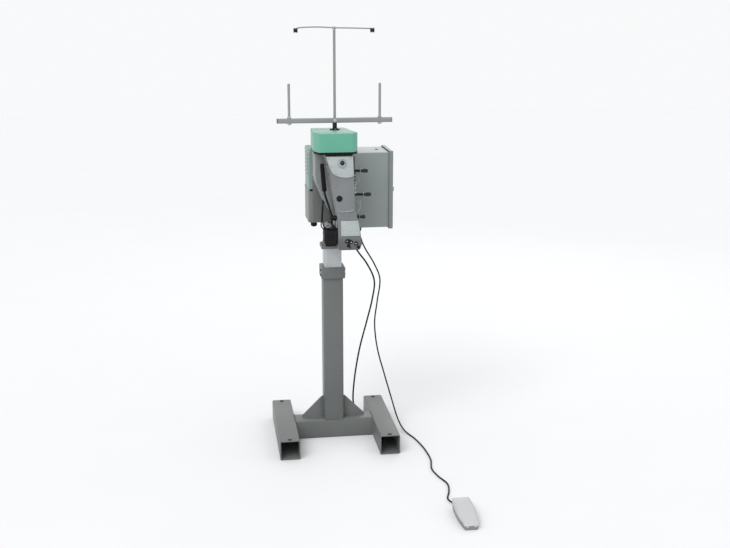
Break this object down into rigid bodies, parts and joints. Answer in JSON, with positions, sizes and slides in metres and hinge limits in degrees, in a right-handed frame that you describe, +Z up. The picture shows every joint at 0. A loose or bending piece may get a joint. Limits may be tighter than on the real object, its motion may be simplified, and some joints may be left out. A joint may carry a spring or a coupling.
{
  "type": "bag closer sewing machine",
  "caption": "Pedestal bag closing sewing head with thread stand, belt guard, motor box, control box and foot switch.",
  "frame": {"origin": "centre of the base on the floor, under the column", "axes": "+Z up; -Y towards the operator; bags enter from +X and leave at -X"},
  "size_m": [0.6419, 1.2049, 1.6716],
  "materials": {
    "frame_grey": "semi-gloss enamel",
    "box_grey": "semi-gloss enamel",
    "motor_green_grey": "satin enamel",
    "guard_green": "satin enamel",
    "casting": "hammered silver enamel over cast aluminium",
    "bright_cover": "bright satin",
    "steel": "ground steel",
    "bar_grey": "grey enamel",
    "bronze": "machined bronze",
    "black_plastic": "moulded black",
    "black_enamel": "black enamel",
    "rubber": "black rubber and PVC cable",
    "green_plastic": "gloss",
    "red_plastic": "gloss",
    "ivory_enamel": "light grey enamel"
  },
  "bodies": {
    "stand": {"base_frame": "frame_grey", "column_outer": "frame_grey", "column_collar": "frame_grey", "crank_gearbox": "frame_grey", "pedal_base": "frame_grey", "pedal_pin": "steel", "foot_cord": "rubber", "mains_cord": "rubber", "mains_coil": "rubber", "mains_plug": "black_plastic"},
    "carriage": {"column_inner": "steel", "lift_nut": "bronze", "head_bracket": "frame_grey", "motor_box": "motor_green_grey", "motor_cover": "frame_grey", "motor_body": "frame_grey", "v_belt": "rubber", "belt_guard": "guard_green", "control_box": "box_grey", "control_plate": "steel", "gland_mains": "black_plastic", "gland_foot": "black_plastic", "motor_lead": "rubber", "head_body": "casting", "upper_cover": "bright_cover", "face_cover": "bright_cover", "needle_plate": "steel", "tension_stud_top": "steel", "tension_stud_mid": "steel", "tension_stud_low": "steel", "cutter_solenoid": "black_enamel", "stand_post": "bar_grey", "spool_bar": "bar_grey", "spool_pin_left": "bar_grey", "spool_pin_right": "bar_grey", "guide_bar": "black_enamel"},
    "screw": {"lift_screw": "steel"},
    "crank": {"lift_crank": "steel"},
    "knob": {"crank_knob": "black_plastic"},
    "main_shaft": {"main_shaft": "steel", "head_pulley": "steel"},
    "motor_rotor": {"motor_pulley": "steel"},
    "needle_bar": {"needle_bar": "steel"},
    "presser_foot": {"presser_foot": "steel"},
    "feed_dog": {"feed_dog": "steel"},
    "looper": {"looper": "steel"},
    "lifter": {"lifter_lever": "black_enamel", "lifter_grip": "black_plastic"},
    "cutter_plunger": {"cutter_plunger": "steel"},
    "cutter_knife": {"cutter_knife": "steel"},
    "door": {"control_door": "box_grey", "door_hinge_pin": "steel"},
    "door_lock": {"door_lock": "steel"},
    "start_button": {"start_button": "green_plastic"},
    "stop_button": {"stop_button": "red_plastic"},
    "tension_nut_top": {"tension_nut_top": "black_plastic"},
    "tension_nut_mid": {"tension_nut_mid": "black_plastic"},
    "tension_nut_low": {"tension_nut_low": "black_plastic"},
    "oil_cap": {"oil_cap": "black_plastic"},
    "treadle": {"pedal_treadle": "ivory_enamel"}
  },
  "joints": [
    {"name": "column_lift", "type": "slide", "parent": "stand", "child": "carriage", "axis": [0, 0, 1], "range_m": [0, 0.22]},
    {"name": "screw_turn", "type": "hinge", "parent": "stand", "child": "screw", "pos_m": [0, 0, 0.21], "axis": [0, 0, 1], "continuous": true},
    {"name": "crank_turn", "type": "hinge", "parent": "stand", "child": "crank", "pos_m": [0, 0.06, 0.21], "axis": [0, 1, 0], "continuous": true},
    {"name": "knob_spin", "type": "hinge", "parent": "crank", "child": "knob", "pos_m": [0, 0.118, 0.285], "axis": [0, 1, 0], "continuous": true},
    {"name": "main_shaft_spin", "type": "hinge", "parent": "carriage", "child": "main_shaft", "pos_m": [-0.01, -0.185, 1.2], "axis": [0, 0, 1], "continuous": true},
    {"name": "motor_spin", "type": "hinge", "parent": "carriage", "child": "motor_rotor", "pos_m": [-0.01, 0.13, 1.2], "axis": [0, 0, 1], "continuous": true},
    {"name": "needle_bar_slide", "type": "slide", "parent": "carriage", "child": "needle_bar", "axis": [0, 1, 0], "range_m": [0, 0.03]},
    {"name": "presser_foot_slide", "type": "slide", "parent": "carriage", "child": "presser_foot", "axis": [0, -1, 0], "range_m": [0, 0.008]},
    {"name": "feed_dog_slide", "type": "slide", "parent": "carriage", "child": "feed_dog", "axis": [1, 0, 0], "range_m": [-0.002, 0.002]},
    {"name": "looper_swing", "type": "hinge", "parent": "carriage", "child": "looper", "pos_m": [0.03, -0.092, 0.887], "axis": [0, 0, 1], "range_deg": [-8, 20]},
    {"name": "lifter_hinge", "type": "hinge", "parent": "carriage", "child": "lifter", "pos_m": [-0.02, -0.205, 0.96], "axis": [1, 0, 0], "range_deg": [0, 25]},
    {"name": "cutter_plunger_slide", "type": "slide", "parent": "carriage", "child": "cutter_plunger", "axis": [0, 1, 0], "range_m": [0, 0.005], "stiffness_N_per_m": 200},
    {"name": "cutter_knife_swing", "type": "hinge", "parent": "carriage", "child": "cutter_knife", "pos_m": [-0.008, -0.148, 0.895], "axis": [1, 0, 0], "range_deg": [0, 14]},
    {"name": "door_hinge", "type": "hinge", "parent": "carriage", "child": "door", "pos_m": [0.246, 0.263, 1.018], "axis": [0, 0, 1], "range_deg": [0, 110]},
    {"name": "door_lock_turn", "type": "hinge", "parent": "door", "child": "door_lock", "pos_m": [0.25, 0.084, 1.018], "axis": [1, 0, 0], "range_deg": [0, 90]},
    {"name": "start_button_press", "type": "slide", "parent": "door", "child": "start_button", "axis": [-1, 0, 0], "range_m": [0, 0.004], "stiffness_N_per_m": 400},
    {"name": "stop_button_press", "type": "slide", "parent": "door", "child": "stop_button", "axis": [-1, 0, 0], "range_m": [0, 0.004], "stiffness_N_per_m": 400},
    {"name": "tension_nut_top_turn", "type": "hinge", "parent": "carriage", "child": "tension_nut_top", "pos_m": [0.1, -0.185, 1.136], "axis": [1, 0, 0], "range_deg": [-360, 360]},
    {"name": "tension_nut_mid_turn", "type": "hinge", "parent": "carriage", "child": "tension_nut_mid", "pos_m": [0.1, -0.185, 1.045], "axis": [1, 0, 0], "range_deg": [-360, 360]},
    {"name": "tension_nut_low_turn", "type": "hinge", "parent": "carriage", "child": "tension_nut_low", "pos_m": [0.1, -0.185, 0.958], "axis": [1, 0, 0], "range_deg": [-360, 360]},
    {"name": "oil_cap_turn", "type": "hinge", "parent": "carriage", "child": "oil_cap", "pos_m": [0.013, -0.245, 1.172], "axis": [0, -1, 0], "range_deg": [0, 90]},
    {"name": "treadle_hinge", "type": "hinge", "parent": "stand", "child": "treadle", "pos_m": [0.366, -0.913, 0.013], "axis": [-1, 0, 0], "range_deg": [0, 4], "stiffness_Nm_per_rad": 6, "springref_deg": -5.73}
  ],
  "couplings": [
    {"joint": "screw_turn", "follows": "column_lift", "rad_per_m": -628.32},
    {"joint": "crank_turn", "follows": "column_lift", "rad_per_m": 628.32},
    {"joint": "motor_spin", "follows": "main_shaft_spin", "ratio": 1.4364},
    {"joint": "presser_foot_slide", "follows": "lifter_hinge", "m_per_rad": 0.018},
    {"joint": "cutter_knife_swing", "follows": "cutter_plunger_slide", "rad_per_m": 46.5}
  ]
}
